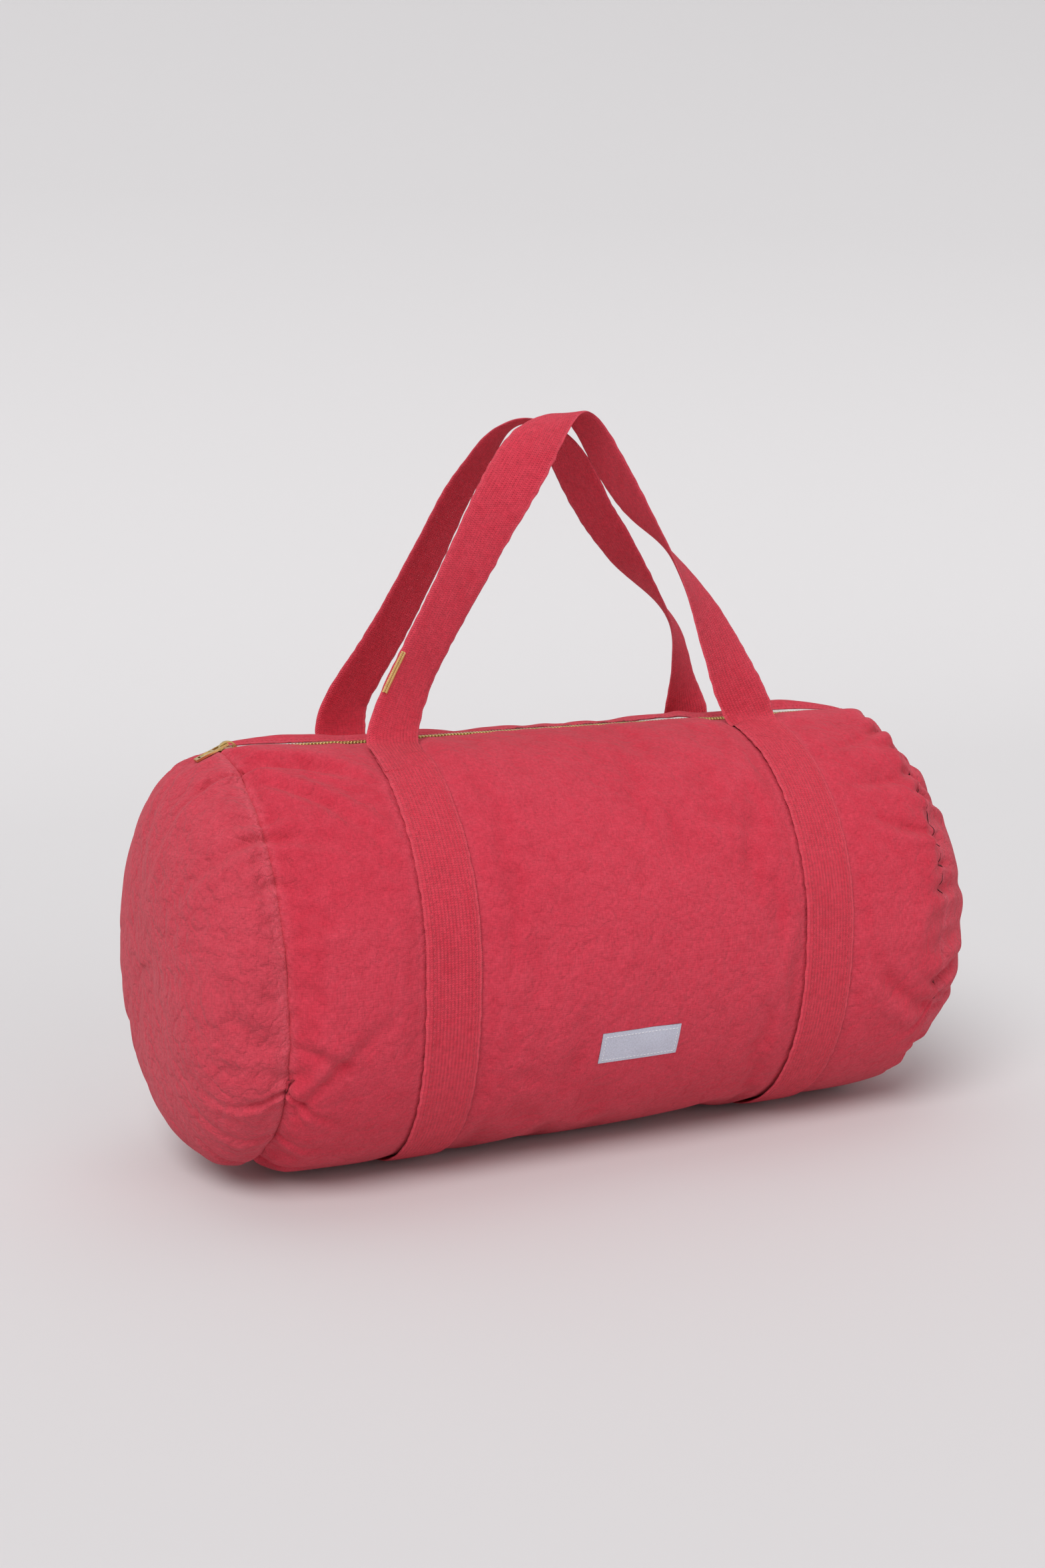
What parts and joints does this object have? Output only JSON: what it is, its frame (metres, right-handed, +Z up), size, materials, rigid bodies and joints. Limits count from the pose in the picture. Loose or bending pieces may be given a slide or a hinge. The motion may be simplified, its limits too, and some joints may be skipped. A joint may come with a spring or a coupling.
{
  "type": "duffel bag",
  "caption": "Barrel-shaped canvas duffel bag with domed ends, sewn webbing straps, carry handles and a metal zip along the top; the sewn front label is blank.",
  "frame": {"origin": "on the floor under the middle of the bag", "axes": "+X along the barrel, away from the zip slider's end; -Y the front, with the label; +Z up"},
  "size_m": [0.6028, 0.2644, 0.5051],
  "materials": {
    "canvas": "plain-weave cotton canvas, garment washed, faded red",
    "end_canvas": "plain-weave cotton canvas, garment washed, a little more faded",
    "binding": "cotton twill tape",
    "webbing": "heavy cotton webbing, twill face",
    "thread": "cotton thread, running stitch",
    "white_thread": "white thread, running stitch",
    "gold_thread": "metallic gold thread, satin stitch",
    "label": "woven label, matt, blank",
    "zip_tape": "white herringbone zip tape",
    "brass": "polished brass"
  },
  "bodies": {
    "bag": {"body_panel": "canvas", "end_panel_left": "end_canvas", "end_panel_right": "end_canvas", "seam_binding_left": "binding", "seam_binding_right": "binding", "strap_left": "webbing", "strap_right": "webbing", "strap_stitching_left": "thread", "strap_stitching_right": "thread", "strap_tack_stitching": "thread", "label": "label", "label_stitching": "white_thread", "zip_bottom_stop": "brass"},
    "mouth_front": {"mouth_canvas_front": "canvas", "zip_stitching_front": "thread", "zip_tape_front": "zip_tape", "zip_teeth_front": "brass"},
    "mouth_rear": {"mouth_canvas_rear": "canvas", "zip_stitching_rear": "thread", "zip_tape_rear": "zip_tape", "zip_teeth_rear": "brass"},
    "slider": {"zip_slider_body": "brass", "zip_slider_bridge": "brass", "zip_lock_spring": "brass"},
    "puller": {"zip_puller": "brass"},
    "handle_front": {"handle_front": "webbing", "handle_bar_tack": "gold_thread"},
    "handle_rear": {"handle_rear": "webbing"}
  },
  "joints": [
    {"name": "zip_slide", "type": "slide", "parent": "bag", "child": "slider", "axis": [1, 0, 0], "range_m": [0, 0.455]},
    {"name": "mouth_front_open", "type": "hinge", "parent": "bag", "child": "mouth_front", "pos_m": [0, 0, 0.157], "axis": [1, 0, 0], "range_deg": [0, 17]},
    {"name": "mouth_rear_open", "type": "hinge", "parent": "bag", "child": "mouth_rear", "pos_m": [0, 0, 0.157], "axis": [1, 0, 0], "range_deg": [-17, 0]},
    {"name": "puller_swing", "type": "hinge", "parent": "slider", "child": "puller", "pos_m": [-0.2439, 0, 0.2889], "axis": [0, 1, 0], "range_deg": [0, 190]},
    {"name": "handle_front_swing", "type": "hinge", "parent": "bag", "child": "handle_front", "pos_m": [0, -0.04777, 0.28145], "axis": [1, 0, 0], "range_deg": [0, 115]},
    {"name": "handle_rear_swing", "type": "hinge", "parent": "bag", "child": "handle_rear", "pos_m": [0, 0.04777, 0.28145], "axis": [1, 0, 0], "range_deg": [-85, 0]}
  ],
  "couplings": [
    {"joint": "mouth_front_open", "follows": "zip_slide", "rad_per_m": 0.65},
    {"joint": "mouth_rear_open", "follows": "zip_slide", "rad_per_m": -0.65}
  ]
}
